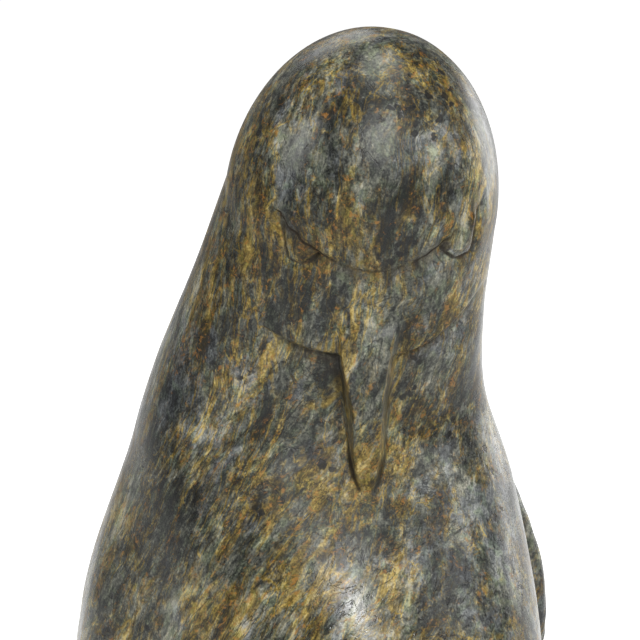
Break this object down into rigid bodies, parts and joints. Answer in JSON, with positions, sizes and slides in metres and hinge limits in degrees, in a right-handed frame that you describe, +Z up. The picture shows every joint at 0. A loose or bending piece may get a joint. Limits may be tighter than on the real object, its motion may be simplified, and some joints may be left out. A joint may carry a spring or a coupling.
{
  "type": "soapstone bird carving",
  "caption": "Polished stone carving of a standing bird with its head bowed, long beak lying on the breast and folded wings, cut in one with its low base.",
  "frame": {"origin": "centre of the base's underside", "axes": "+Z up, -Y towards the breast, +X towards the bird's left"},
  "size_m": [0.1519, 0.1851, 0.32],
  "materials": {
    "stone": "polished"
  },
  "bodies": {
    "root": {"bird_carving": "stone"}
  },
  "joints": []
}
